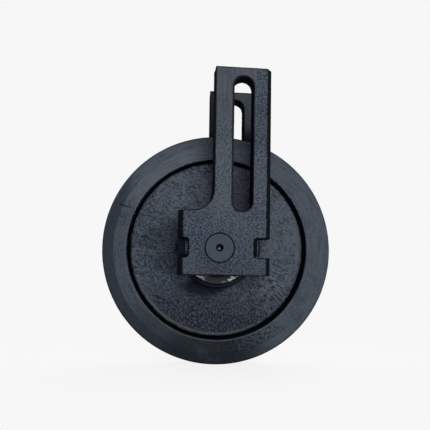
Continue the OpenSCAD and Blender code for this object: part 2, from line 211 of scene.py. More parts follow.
class Colours(PropertyGroup):
    """Colours of the finishes, in linear light"""

    paint: colour("Paint", "Blue-black paint between the grains", (0.018, 0.025, 0.039))
    paint_light: colour("Light paint", "The same paint on the high grains", (0.050, 0.063, 0.085))
    # This colour is worn paint in the web's brushed strokes and rub mark, and painted light in lighter
    # patches on the web, on the rim's taper away from its left and lower left, and at the rim's upper left.
    worn_and_painted_light: colour("Worn paint", "Thin dull paint on the rim's taper", (0.054, 0.066, 0.082))
    # This colour is a painted highlight along the lower half of the web's lip and of the rim's inner edge.
    worn_edge_and_highlight: colour("Rubbed edge", "Edges and beads rubbed down to grey", (0.075, 0.084, 0.092))
    plum: colour("Plum", "Reddish cast of the thin paint on arms and rim", (0.044, 0.046, 0.058))
    dust: colour("Dust", "Greenish grey dust on the paint", (0.036, 0.049, 0.056))
    olive: colour("Olive", "Olive dust on the arms", (0.060, 0.074, 0.072))
    # This colour is a darker tone of the paint in clouds, turned rings and on the fasteners, and painted
    # shade on the web low down, beside the block and behind the arm, and on the rim's left taper band and
    # lower left.
    dark_paint_and_shade: colour("Shade", "Matt paint on sides, bevels and hollows", (0.014, 0.018, 0.026))
    # This colour is also painted shade: the darker matt copy of the paints on sides, slopes and hollows,
    # the black groove, the dark lathe centres and hub step, and painted shadows at the hub's foot, on the
    # rim's foot and on the brackets' inner faces.
    pit_and_shade: colour("Pit", "Bottom of pits and hairlines", (0.0015, 0.002, 0.003))
    bare_steel: colour("Bare steel", "Machined steel of the hub's end", (0.17, 0.185, 0.19))
    stain: colour("Stain", "Oil and thin rust on the bare steel", (0.020, 0.024, 0.024))
    ground_steel: colour("Ground steel", "Ground journal of the shaft", (0.56, 0.57, 0.58))
    bronze: colour("Bronze", "Bronze of the bushes", (0.62, 0.42, 0.19))
    rubber: colour("Rubber", "Rubber of the torics and rings", (0.022, 0.022, 0.023))
    pale: colour("Pale", "Floor and backdrop", (0.93, 0.93, 0.93))


class StageSettings(PropertyGroup):
    """Camera and light"""

    camera_place: location("Camera", "Place of the camera", (-0.0654, -1.0812, -0.0355))
    camera_way: direction("View", "Direction of view", (0.0583, 0.9950, 0.0805))
    camera_roll: angle("Roll", "Turn about the view", math.radians(0.9))
    camera_lens: focal("Lens", "Focal length on a 36 mm sensor", 60.7)
    key_place: location("Key place", "Place of the front light", (0.3, -1.42, 0.36))
    key_size: length("Key size", "Width of the front light", 1.0)
    key_power: power("Key", "Power of the front light", 22.0)
    rear_place: location("Rear place", "Place of the rear light", (0.7, 1.5, 0.9))
    rear_power: power("Rear", "Power of the rear light", 36.0)
    fill_place: location("Fill place", "Place of the left light", (-1.3, 0.9, 0.7))
    fill_power: power("Fill", "Power of the left light", 16.0)
    back_size: length("Back size", "Width of the rear and the left light", 1.2)
    ambient: share("Ambient", "Level of the light from all round", 0.2)
    shadow: share("Shadow", "Share of the floor that takes the shadow", 0.1)


class Value:
    """A socket of a node tree. Arithmetic on it adds Math nodes."""

    def __init__(self, nodes, socket):
        self.nodes = nodes
        self.socket = socket

    def math(self, operation, *terms):
        return self.nodes.node("Math", {"operation": operation}, dict(enumerate(terms)))

    def __add__(self, other):
        return self.math("ADD", self, other)

    def __sub__(self, other):
        return self.math("SUBTRACT", self, other)

    def __rsub__(self, other):
        return self.math("SUBTRACT", other, self)

    def __mul__(self, other):
        return self.math("MULTIPLY", self, other)

    def __pow__(self, other):
        return self.math("POWER", self, other)

    def __abs__(self):
        return self.math("ABSOLUTE", self)

    def over(self, other):
        """The larger of two values."""
        return self.math("MAXIMUM", self, other)

    def under(self, other):
        """The smaller of two values."""
        return self.math("MINIMUM", self, other)

    def step(self, low, high):
        """Goes smoothly from 0 at low to 1 at high, which may be the smaller of the two."""
        sockets = {"Value": self, "From Min": low, "From Max": high}
        return self.nodes.node("MapRange", {"interpolation_type": "SMOOTHSTEP"}, sockets)

    __radd__ = __add__
    __rmul__ = __mul__


class Nodes:
    """A node tree that is written as expressions."""

    def __init__(self, tree):
        self.tree = tree
        tree.nodes.clear()

    def node(self, kind, settings=None, sockets=None, out=0):
        """Adds a node: its settings first, then its sockets' values or links. Returns one output."""
        made = self.tree.nodes.new("ShaderNode" + kind)
        for name, value in (settings or {}).items():
            setattr(made, name, value)
        for name, value in (sockets or {}).items():
            if isinstance(value, Value):
                self.tree.links.new(value.socket, made.inputs[name])
            else:
                made.inputs[name].default_value = value
        return Value(self, made.outputs[out]) if made.outputs else None

    def parts(self, vector):
        """The three parts of a vector."""
        return [self.node("SeparateXYZ", {}, {"Vector": vector}, out=i) for i in range(3)]

    def plane(self, across, along):
        """Place in a plane of its own, for noise that follows turning or spokes."""
        return self.node("CombineXYZ", {}, {0: across, 1: along})

    def blend(self, first, second, factor):
        """Colour that goes from first to second."""
        tones = [c if isinstance(c, Value) else (*c, 1.0) for c in (first, second)]
        return self.node("Mix", {"data_type": "RGBA"}, {0: factor, 6: tones[0], 7: tones[1]}, out=2)

    def coats(self, base, *layers):
        """Colour of a base under layers, each with its colour and how much of it covers."""
        for tone, cover in layers:
            base = self.blend(base, tone, cover)
        return base


class Finish(Nodes):
    """A material placed by the piece's own coordinates, with one specular level all over. Its radius
    is the distance from the wheel's axis."""

    def __init__(self, name, specular=0.5):
        self.material = bpy.data.materials.new(name)
        self.material.use_nodes = True
        super().__init__(self.material.node_tree)
        self.place = self.node("TexCoord", out="Object")
        self.x, self.y, self.z = self.parts(self.place)
        self.radius = (self.x * self.x + self.z * self.z) ** 0.5
        self.specular = specular

    def finished(self, base, rough, normal, metal=0.0, dull=None, gloss=None):
        """Makes the shader and returns the material. Where gloss falls to 0, a matt shader with the same
        relief shows instead, its base colour blended with dull, a colour and its share. On the paints this
        darker matt copy is painted shade on sides, slopes and hollows."""
        sockets = {"Base Color": base, "Roughness": rough, "Normal": normal, "Metallic": metal}
        surface = self.node("BsdfPrincipled", {}, {**sockets, "Specular IOR Level": self.specular})
        if gloss:
            sockets = {"Base Color": self.blend(base, *dull), "Roughness": 1.0, "Normal": normal}
            matt = self.node("BsdfPrincipled", {}, {**sockets, "Specular IOR Level": 0.0})
            surface = self.node("MixShader", {}, {0: gloss, 1: matt, 2: surface})
        self.node("OutputMaterial", {}, {"Surface": surface})
        return self.material

    def bump(self, height, depth, below=None):
        """Normal for a height from 0 to 1 over a depth in metres, on top of another normal."""
        sockets = {"Height": height, "Distance": depth, "Strength": 1.0}
        if below:
            sockets["Normal"] = below
        return self.node("Bump", {}, sockets)

    def noise(self, scale, place=None, detail=2.0, roughness=0.5, distortion=0.0):
        """Soft noise about 0.5, with scale features to the metre."""
        sockets = {"Vector": place or self.place, "Scale": scale, "Detail": detail}
        sockets.update({"Roughness": roughness, "Distortion": distortion})
        return self.node("TexNoise", {}, sockets)

    def stretched(self, scale, slant=0):
        """Place scaled along each axis after a turn about Y in degrees, for grain that runs one way."""
        sockets = {"Vector": self.place, "Rotation": (0, math.radians(slant), 0), "Scale": scale}
        return self.node("Mapping", {"vector_type": "TEXTURE"}, sockets)

    def grain(self, scale, place=None):
        """Fine sand grain about 0.5, and its pits, 1 inside a pit."""
        fine = self.noise(scale, place, detail=1, roughness=0.6)
        return fine, fine.step(0.42, 0.34)

    def lines(self, scale, place, width):
        """1 along thin wandering lines, 0 away from them."""
        gap = self.noise(scale, place, detail=1, distortion=0.7) - 0.5
        return 1 - abs(gap).step(0.3 * width, width)

    def rings(self, scale):
        """Fine rings that a lathe tool leaves, about 0.5."""
        return self.noise(scale, self.plane(self.radius, self.y), detail=1)

    def patch(self, name):
        """1 round a named spot on the face, falling to 0 at its reach."""
        x, z, reach_x, reach_z = SPOTS[name]
        across = (self.x - x) * (1 / reach_x)
        up = (self.z - z) * (1 / reach_z)
        return ((across * across + up * up) ** 0.5).step(1.0, 0.45)

    def scratch(self, start, end, width):
        """1 along a straight line between two places on the face, as (x, z), fading at its ends."""
        fade = 0.004
        run = Vector(end) - Vector(start)
        way = run.normalized()
        x, z = self.x - start[0], self.z - start[1]
        along = x * way.x + z * way.y
        inside = along.step(0, fade) * along.step(run.length, run.length - fade)
        return inside * abs(x * way.y - z * way.x).step(width, 0.3 * width)

    def faced(self, low, high):
        """1 on faces square to the axis, falling to 0 on sides and steep slopes."""
        return abs(self.parts(self.node("NewGeometry", out="Normal"))[1]).step(low, high)

    def edges(self, low, high):
        """1 along outer edges."""
        return self.node("NewGeometry", out="Pointiness").step(low, high)


def bracket_paint(colours, sizes):
    """Satin paint over a sanded casting: glinting grains and pits on the outer faces, a smooth coat drawn
    down the upper arms, olive dust and a painted shadow on the inner faces, painted shade on sides, slopes
    and along edges, and gloss that varies at random and, as painted light and shade, round a few spots and
    low on the block."""
    finish = Finish("bracket_paint", SATIN)
    x, y, z = finish.x, finish.y, finish.z
    broad = finish.noise(24, detail=3)
    fine, pits = finish.grain(400, finish.stretched((1.3, 1.0, 0.8), slant=35))
    still = 0.75 * z.step(0.12, 0.22) * x.step(0.05, 0.044)
    drawn = finish.noise(420, finish.stretched((1, 1, 12)), detail=1)
    fine = fine * (1 - still) + drawn * still * 0.5 + 0.25 * still
    pits = pits * (1 - still)
    # Inner faces: olive dust, and a painted shadow that is faint all over, deep low down and half as deep
    # towards the left, which also takes the gloss away.
    inside = abs(y).step(sizes.inner_face + 0.008, sizes.inner_face + 0.002)
    dark = 0.1 + 0.68 * z.step(0.205, 0.175)
    inner = inside * dark.over(0.5 * x.step(0.006, -0.002))
    base = finish.coats(
        colours.paint,
        (colours.paint_light, fine.step(0.42, 0.62)),
        (colours.dust, 0.45 * broad.step(0.42, 0.7)),
        (colours.plum, 0.6 * still),
        (colours.olive, 0.3 * finish.patch("arm_olive")),
        (colours.pit_and_shade, 0.35 * pits),
        (colours.olive, 0.4 * inside),
        (colours.pit_and_shade, inner),
    )
    bore, foot = SHAFT_HIGH.x, sizes.block_foot
    side = x - sizes.slot_x
    middle = z - (sizes.slot_low + sizes.slot_high) / 2
    beyond = (abs(middle) - (sizes.slot_high - sizes.slot_low) / 2).over(0.0)
    brink = (side * side + beyond * beyond) ** 0.5 - sizes.slot_radius
    brink = brink - 0.0014 * side.step(0.0, -0.01)
    # Dark lines along the outer edges, along the slot's brink, wider on its left, and along the block's
    # foot, where gloss falls away: painted shade.
    edge = finish.edges(0.512, 0.53) * finish.radius.step(bore + 0.001, bore + 0.004)
    edge = edge.over(brink.step(0.0024, 0.0012)).over(z.step(foot + 0.0023, foot + 0.0013))
    # Gloss, and with it the lighter glossy paint, varies at random, rises round arm_bright and falls round
    # arm_dim and low on the block: painted light and shade. Where faced falls on sides and slopes, along
    # the dark lines and in the inner faces' painted shadow, the darker matt copy shows: painted shade.
    patchy = 0.9 + 0.5 * (broad - 0.45) - 0.12 * z.step(0.03, -0.03)
    patchy = patchy + 0.14 * finish.patch("arm_bright") - 0.12 * finish.patch("arm_dim")
    gloss = finish.faced(0.75, 0.95) * (1 - 0.2 * pits) * (1 - 0.9 * edge) * patchy * (1 - inner)
    rough = 0.38 - 0.08 * broad + 0.06 * still
    normal = finish.bump(fine, 0.0013)
    return finish.finished(base, rough, normal, dull=(colours.pit_and_shade, 0.85), gloss=gloss)


def web_paint(colours, sizes):
    """Satin paint over a rough cast web: grains, wandering wrinkles, brushed strokes and flecks low down;
    painted light in two lighter patches; painted shade low down, beside the block, behind the arm and at
    the hub's foot; a painted highlight along the lower lip; and painted shade that blacks out the groove
    outside it."""
    finish = Finish("web_paint", SATIN)
    face, lip_radius = sizes.face_radius, sizes.face_radius - sizes.groove_width
    groove_top = sizes.rim_half - sizes.lip_drop - sizes.edge_round
    soft = 0.0006
    radius, along, x, z = finish.radius, finish.y, finish.x, finish.z
    broad = finish.noise(22, detail=3)
    fine, pits = finish.grain(330)
    slanted = finish.stretched((2.2, 1.0, 0.8), slant=28)
    folds = finish.noise(130, slanted, distortion=0.6)
    wrinkles = finish.lines(105, slanted, 0.035) * finish.noise(45).step(0.42, 0.56)
    turn = 0.1 * z.math("ARCTAN2", z, x)
    brushed = finish.noise(420, finish.plane(turn, 0.25 * radius), detail=1)
    dashed = finish.noise(470, finish.plane(turn, 0.55 * radius))
    corner = finish.patch("web_brushed")
    cracks = (0.8 * wrinkles).over(corner * brushed.step(0.46, 0.38))
    # Painted shade: beside the block at the left, behind the front arm, and growing towards the bottom.
    painted_shade = 0.5 * finish.patch("web_left") + 0.9 * z.step(-0.03, -0.11)
    painted_shade = painted_shade + 0.6 * finish.patch("web_behind_arm")
    calm = 1 - 0.6 * finish.patch("web_calm")
    # Painted light: lighter patches low at the right and high at the left.
    light = finish.patch("web_light_low") + finish.patch("web_light_high")
    # Painted shadow at the foot of the hub, on its lower left.
    foot = finish.patch("web_foot")
    # Light flecks low down, with dark gaps between them that are texture and also painted shade, darkening
    # the bottom.
    bottom = z.step(-0.05, -0.085)
    flecks = bottom * dashed.step(0.5, 0.6)
    # Painted highlight: a lighter band along the web's lip on its lower left, where light catches the bead.
    lip = radius.step(lip_radius - 0.0066, lip_radius - 0.005)
    lip = lip * (-0.35 * x - 0.94 * z).step(0.05, 0.11)
    base = finish.coats(
        colours.paint,
        (colours.paint_light, 0.5 + (fine.step(0.38, 0.66) - 0.5) * calm),
        (colours.dust, 0.5 * broad.step(0.42, 0.7)),
        (colours.dark_paint_and_shade, painted_shade),
        (colours.worn_and_painted_light, 0.45 * light),
        (colours.worn_and_painted_light, 0.8 * corner * brushed.step(0.5, 0.6)),
        (colours.pit_and_shade, (0.6 * cracks).over(0.35 * pits * calm)),
        (colours.pit_and_shade, 0.7 * foot),
        (colours.paint_light, 0.7 * flecks),
        (colours.pit_and_shade, 0.6 * bottom * dashed.step(0.49, 0.39)),
        (colours.worn_and_painted_light, 0.8 * finish.scratch(*WEB_RUB)),
        (colours.worn_edge_and_highlight, 0.55 * lip),
    )
    # Painted shade in the groove: the darker matt copy goes fully black there.
    groove = radius.step(lip_radius - soft, lip_radius + soft) * radius.step(face + soft, face - soft)
    groove = groove * abs(along).step(groove_top + 2 * soft, groove_top)
    gloss = finish.faced(0.3, 0.6) * (1 - groove) * (1 - 0.35 * cracks) * (1 - 0.25 * pits)
    # Gloss falls low down and at the hub's foot, with the painted shade there.
    gloss = gloss * (1 - 0.2 * z.step(-0.05, -0.11)) * (1 - 0.6 * foot)
    rough = 0.38 - 0.1 * broad + 0.1 * painted_shade
    relief = 0.4 * fine + 1.4 * folds + 0.4 * flecks - 0.5 * cracks
    normal = finish.bump(relief * calm * (1 - 0.7 * lip), 0.001)
    return finish.finished(base, rough, normal, dull=(colours.pit_and_shade, 0.65 + 0.35 * groove), gloss=gloss)


def rim_paint(colours, sizes):
    """Thin paint over the turned rim: clouds, turned rings, grit and a hairline; painted light on the taper
    away from the left and at the upper left; painted shade in a band outside the land on the left, on a
    dark brushed foot, low on the left and on the step at the hub; and a painted highlight along the lower
    inner edge."""
    finish = Finish("rim_paint", SATIN)
    face, land, hub_foot = sizes.face_radius, sizes.land_radius, sizes.hub_radius + 0.005
    radius, x, z = finish.radius, finish.x, finish.z
    turn = z.math("ARCTAN2", z, x)
    clouds = finish.noise(30, detail=4, roughness=0.65)
    lumps = finish.noise(210)
    fine, pits = finish.grain(400)
    rings = finish.noise(420, finish.plane(radius, 0.012 * turn))
    brushed = finish.noise(260, finish.plane(0.15 * turn, 0.2 * radius))
    outside = radius.step(land - 0.0005, land + 0.001)
    # Painted shade: a dark band on the taper at the left, outside the land.
    left = (x + 0.35 * z.under(0.0)).step(-0.115, -0.137)
    band = outside * left * (0.55 + 0.9 * (rings - 0.4))
    # Painted shade at the bottom: a dark brushed foot and a darker lower left.
    foot = finish.patch("rim_foot") * (clouds + 0.35 * brushed).step(0.45, 0.72)
    low = finish.patch("rim_low")
    gritty = finish.patch("rim_gritty") * (1 - outside)
    cracks = 0.21 * finish.lines(90, finish.place, 0.03) * finish.patch("rim_cracked")
    cracks = cracks.over(finish.scratch(*RIM_HAIR))
    # Painted highlight along the lower half of the rim's inner edge.
    edge = radius.step(face + 0.002, face + 0.001) * z.step(-0.04, -0.09)
    # Painted shade on the step round the hub, lighter towards the right.
    hub = radius.step(hub_foot + 0.01, hub_foot)
    base = finish.coats(
        colours.paint,
        (colours.paint_light, 0.25 + 0.5 * fine.step(0.34, 0.7)),
        (colours.dust, 0.7 * clouds.step(0.42, 0.62)),
        (colours.dark_paint_and_shade, 0.5 * clouds.step(0.45, 0.3)),
        # Painted light on the taper away from the left and low down, and at the upper left.
        (colours.worn_and_painted_light, 0.45 * outside * (1 - left) * (1 - low)),
        (colours.worn_and_painted_light, 0.9 * finish.patch("rim_bright")),
        (colours.plum, 0.6 * left * rings.step(0.45, 0.7)),
        (colours.dark_paint_and_shade, band.over(0.5 * low)),
        (colours.pit_and_shade, (0.45 * foot).over(pits * (0.15 + 0.3 * gritty))),
        (colours.pit_and_shade, 0.75 * gritty * lumps.step(0.5, 0.4)),
        (colours.dark_paint_and_shade, 0.45 * rings.step(0.5, 0.36)),
        (colours.pit_and_shade, cracks),
        (colours.worn_edge_and_highlight, edge * clouds.step(0.35, 0.5)),
        (colours.pit_and_shade, hub * (0.75 - 0.3 * x.step(0.0, 0.025))),
    )
    # Less gloss on the foot, low down and on the hub's step goes with the painted shade there.
    gloss = finish.faced(0.45, 0.85) * (1 - 0.3 * foot) * (1 - 0.1 * pits) * (1 - 0.8 * cracks)
    gloss = gloss * (1 - 0.3 * low) * (1 - 0.7 * hub)
    rough = 0.32 + 0.14 * clouds + 0.05 * rings
    normal = finish.bump(fine + 5 * lumps * gritty + (2 * brushed + fine) * low, 0.0004)
    return finish.finished(base, rough, normal, dull=(colours.pit_and_shade, 0.5), gloss=gloss)


def bare_steel(colours):
    """Turned steel of the hub's end, stained, darker at the bottom of its ring, with paint that strayed
    over its outer edge.
    """
    finish = Finish("hub_steel", specular=0.2)
    rings = finish.rings(1500)
    blotch = finish.noise(130, detail=4, roughness=0.65)
    specks = finish.noise(430)
    stained = (blotch + 0.4 * specks).step(0.60, 0.76).over(finish.patch("hub_dark_bottom"))
    strayed = (finish.radius + 0.004 * blotch).step(0.0502, 0.0516)
    base = finish.coats(colours.bare_steel, (colours.stain, stained), (colours.paint, strayed))
    rough = 0.34 + 0.14 * rings + 0.25 * stained
    normal = finish.bump(specks, 0.00012, finish.bump(rings, 0.00005))
    return finish.finished(base, rough, normal, metal=(1 - 0.95 * stained) * (1 - strayed))


def painted_shaft(colours):
    """Shaft painted on its ends, with painted shade in the lathe centres and a painted glint low in each,
    and ground bright where the bushes run.
    """
    finish = Finish("shaft_paint", SATIN)
    end = SHAFT_HIGH.y
    along = finish.y
    turned = finish.rings(1300)
    clouds = finish.noise(60, detail=3)
    face = (abs(along) + 0.001 * clouds).step(end - 0.0035, end - 0.0015)
    centre = abs(along).step(end - 0.012, end - 0.010) * finish.radius.step(0.008, 0.007)
    bright = 1 - face.over(centre)
    base = finish.coats(
        colours.paint,
        (colours.paint_light, 0.3 * clouds.step(0.25, 0.75)),
        (colours.dust, 0.4),
        # Painted shade on the slopes of the lathe centres and chamfers, and a painted glint of bare steel
        # low in each centre.
        (colours.pit_and_shade, 1 - finish.faced(0.6, 0.95)),
        (colours.bare_steel, finish.patch("centre_glint")),
        (colours.ground_steel, bright),
    )
    rough = 0.44 - 0.2 * bright + 0.06 * turned + 0.08 * clouds
    return finish.finished(base, rough, finish.bump(turned, 0.00003), metal=bright)


def black_fastener(name, colours, worn_edge_and_highlight, highlight_x=None):
    """Blackened steel, lighter along its edges as wear and painted highlight, and with a painted highlight
    in a thin band at the given x; matt and darker away from these.
    """
    finish = Finish(name, SATIN)
    grit = finish.noise(700)
    clouds = finish.noise(90, detail=3)
    # Lighter, glossy edges: wear, and painted highlight where the share is high.
    light = worn_edge_and_highlight * finish.edges(0.52, 0.6)
    # Painted highlight: a thin light, glossy band across the piece at the given x.
    if highlight_x:
        light = light.over(abs(finish.x - highlight_x).step(0.0009, 0.0003))
    base = finish.blend(colours.pit_and_shade, colours.dark_paint_and_shade, clouds.step(0.3, 0.7))
    base = finish.blend(base, colours.paint_light, light)
    rough = 0.42 + 0.2 * clouds + 0.1 * grit
    normal = finish.bump(grit, 0.00006)
    return finish.finished(base, rough, normal, dull=(colours.pit_and_shade, 0.6), gloss=light)


def turned_metal(name, tone, stain, rough_level):
    """Plain turned metal with fine rings and a little staining."""
    finish = Finish(name)
    rings = finish.rings(1600)
    clouds = finish.noise(90, detail=3)
    base = finish.blend(tone, stain, 0.5 * clouds.step(0.5, 0.85))
    rough = rough_level + 0.12 * clouds + 0.1 * rings
    return finish.finished(base, rough, finish.bump(rings, 0.00003), metal=1.0)


def moulded_rubber(colours):
    """Matt rubber with a grey bloom and a fine skin."""
    finish = Finish("seal_rubber", specular=0.3)
    grain = finish.noise(1800)
    clouds = finish.noise(140, detail=3)
    base = finish.blend(colours.rubber, colours.dust, 0.5 * clouds.step(0.45, 0.8))
    rough = 0.6 + 0.2 * clouds + 0.1 * grain
    return finish.finished(base, rough, finish.bump(grain, 0.00003))


def corner_points(before, here, after, bend, step):
    """Points of a corner: the corner itself, or an arc of radius bend through its two tangent points."""
    if bend == 0:
        return [here]
    back = (before - here).normalized()
    on = (after - here).normalized()
    half = back.angle(on) / 2
    centre = here + (back + on).normalized() * bend / math.sin(half)
    start = here + back * bend / math.tan(half) - centre
    end = here + on * bend / math.tan(half) - centre
    count = max(3, math.ceil(start.angle(end) * bend / step))
    return [centre + bend * start.slerp(end, k / count) for k in range(count + 1)]


def side_path(corners, steps, round_step):
    """Points of one side, from corners (radius, out, round, finish of what follows), with each
    stretch cut into its finish's steps. Returns the points and the finish of each stretch."""
    places = [Vector(corner[:2]) for corner in corners]
    points, finishes = [places[0]], []
    for i in range(1, len(corners)):
        before, bend, after = corners[i - 1][3], corners[i][2], corners[i][3]
        turn = [places[i]]
        if i < len(corners) - 1:
            turn = corner_points(places[i - 1], places[i], places[i + 1], bend, round_step)
        last = points[-1]
        count = max(1, math.ceil((turn[0] - last).length / steps[before]))
        points += [last.lerp(turn[0], k / count) for k in range(1, count + 1)]
        points += turn[1:]
        finishes += [before] * count + [after] * (len(turn) - 1)
    return points, finishes


def cast_share(points, finishes, fade):
    """How far each point of a path lies inside the cast stretches, from 0 at their ends to 1."""
    stretches = [((b - a).length, finish == CAST) for a, b, finish in zip(points, points[1:], finishes)]
    runs = []
    for way in (stretches, stretches[::-1]):
        run = [0.0]
        for distance, cast in way:
            run.append((run[-1] + distance) * cast)
        runs.append(run)
    return [min(1.0, f / fade, b / fade) for f, b in zip(runs[0], reversed(runs[1]))]


def wheel_skin(place, sizes):
    """Height of the cast skin at a place: slow sway, lumps and a short diagonal drag, and along the
    web's lip a ragged edge, a bead low down and a lean into the groove at the top."""
    sway_scale, lump_scale, drag_scale, ragged_scale = 20, 160, 110, 90
    edge_reach, bead_width, bead_back = 0.004, 0.0022, 1.6
    drag = Vector((place.x * 0.8 + place.z * 0.6, place.y, (place.z * 0.8 - place.x * 0.6) * 3.4))
    sway = noise.fractal(place * sway_scale, 1.0, 2.0, 2)
    lumps = noise.fractal(place * lump_scale, 0.8, 2.1, 2) + 0.5 * noise.noise(drag * drag_scale)
    lip = sizes.face_radius - sizes.groove_width
    reach = math.hypot(place.x, place.z)
    edge = max(0.0, 1 - abs(reach - lip) / edge_reach)
    ragged = edge * noise.noise(place * ragged_scale)
    low = min(1.0, max(0.0, -(0.6 * place.x + 1.5 * place.z) / reach - 0.3))
    bead = low * math.exp(-(((reach - lip) / bead_width + bead_back) ** 2))
    lean = edge * (max(0.0, place.z) - max(0.0, 0.9 * place.x - 0.4 * place.z)) / reach
    height = sizes.skin_sway * sway + sizes.skin_depth * lumps + sizes.ragged * ragged
    return height + sizes.bead * bead + sizes.lean * lean


def link(piece):
    """Puts a piece in the scene."""
    bpy.context.scene.collection.objects.link(piece)
    return piece


def new_piece(name, points, faces, materials, slots=None, crease=math.radians(40)):
    """Mesh piece with smooth faces, sharp only where it creases."""
    mesh = bpy.data.meshes.new(name)
    mesh.from_pydata(points, [], faces)
    for material in materials:
        mesh.materials.append(material)
    if slots:
        mesh.polygons.foreach_set("material_index", slots)
    mesh.shade_smooth()
    mesh.set_sharp_from_angle(angle=crease)
    return link(bpy.data.objects.new(name, mesh))


def seat(piece, body, slot, *nodes):
    """Lets a piece move with its body, in place of its solids."""
    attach(piece, body)
    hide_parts(*nodes)


def grid_faces(rows, columns):
    """Quads between rows of points that close round, with the last row joined to the first."""
    faces = []
    for i in range(rows):
        here, on = i * columns, (i + 1) % rows * columns
        for k in range(columns):
            after = (k + 1) % columns
            faces.append((here + k, here + after, on + after, on + k))
    return faces


class IDLER_OT_wheel(Operator):
    """Revolve the wheel, with machined rim, cast web and bare hub ends"""

    bl_idname = "idler.wheel"
    bl_label = "Wheel"

    steps = {TURNED: 0.005, CAST: 0.0014, BARE: 0.012}
    round_step = 0.0016
    skin_fade = 0.003

    def side(self, s):
        """Corners of one side from the tread's middle to the bore's, as (radius, out, round, finish)."""
        lip = s.face_radius - s.groove_width
        floor = s.rim_half - s.groove_depth
        level = s.rim_half - s.lip_drop
        bend = 0.49 * s.groove_width
        bored = (
            (s.hub_face, s.hub_end),
            (s.collar_bore, s.hub_end),
            (s.collar_bore, s.collar_floor),
            (s.seal_bore, s.collar_floor),
            (s.seal_bore, s.flange_seat),
            (s.bush_bore, s.flange_seat),
            (s.bush_bore, s.bush_start),
            (s.oil_radius, s.bush_start),
        )
        return [
            (s.tread_radius, 0, 0, TURNED),
            (s.tread_radius, s.rim_half - s.taper_drop, s.tread_round, TURNED),
            (s.land_radius, s.rim_half, s.edge_round, TURNED),
            (s.face_radius, s.rim_half, s.edge_round, CAST),
            (s.face_radius, floor, bend, CAST),
            (lip, floor, bend, CAST),
            (lip, level, s.lip_round, CAST),
            (s.root_radius, level + s.web_rise, s.hub_fillet, CAST),
            (s.hub_radius, s.hub_end - s.bevel_length, s.edge_round, TURNED),
            (s.step_radius, s.hub_end - s.bevel_length, s.tool_round, TURNED),
            *((radius, out, s.tool_round, BARE) for radius, out in bored),
            (s.oil_radius, 0, 0, BARE),
        ]

    def execute(self, context):
        sizes = context.scene.idler_wheel
        colours = context.scene.idler_colours
        path, finishes = side_path(self.side(sizes), self.steps, self.round_step)
        shares = cast_share(path, finishes, self.skin_fade)
        loop = [Vector((p.x, -p.y)) for p in path] + [p.copy() for p in path[-2:0:-1]]
        shares += shares[-2:0:-1]
        finishes += finishes[::-1]
        points = []
        for i, here in enumerate(loop):
            way = (loop[(i + 1) % len(loop)] - loop[i - 1]).normalized()
            for k in range(sizes.segments):
                turn = 2 * math.pi * k / sizes.segments
                place = Vector((here.x * math.cos(turn), here.y, here.x * math.sin(turn)))
                if shares[i] > 0:
                    out = Vector((-way.y * math.cos(turn), way.x, -way.y * math.sin(turn)))
                    place += out * shares[i] * wheel_skin(place, sizes)
                points.append(place)
        faces = grid_faces(len(loop), sizes.segments)
        slots = [finish for finish in finishes for k in range(sizes.segments)]
        materials = [rim_paint(colours, sizes), web_paint(colours, sizes), bare_steel(colours)]
        wheel = new_piece("wheel_dressed", points, faces, materials, slots)
        seat(wheel, "wheel", "wheel_casting", "idler_wheel")
        return {"FINISHED"}


def eased_copy(node, name, step, passes):
    """Evenly meshed copy of a solid, with its edges eased as a casting has them."""
    piece = link(bpy.data.objects.new(name, NODES[node].data.copy()))
    weld = piece.modifiers.new("weld", "WELD")
    weld.merge_threshold = 0.000001
    even = piece.modifiers.new("even", "REMESH")
    even.mode = "VOXEL"
    even.voxel_size = step
    ease = piece.modifiers.new("ease", "SMOOTH")
    ease.factor = 0.5
    ease.iterations = passes
    graph = bpy.context.evaluated_depsgraph_get()
    piece.data = bpy.data.meshes.new_from_object(piece.evaluated_get(graph))
    piece.modifiers.clear()
    piece.data.name = name
    return piece


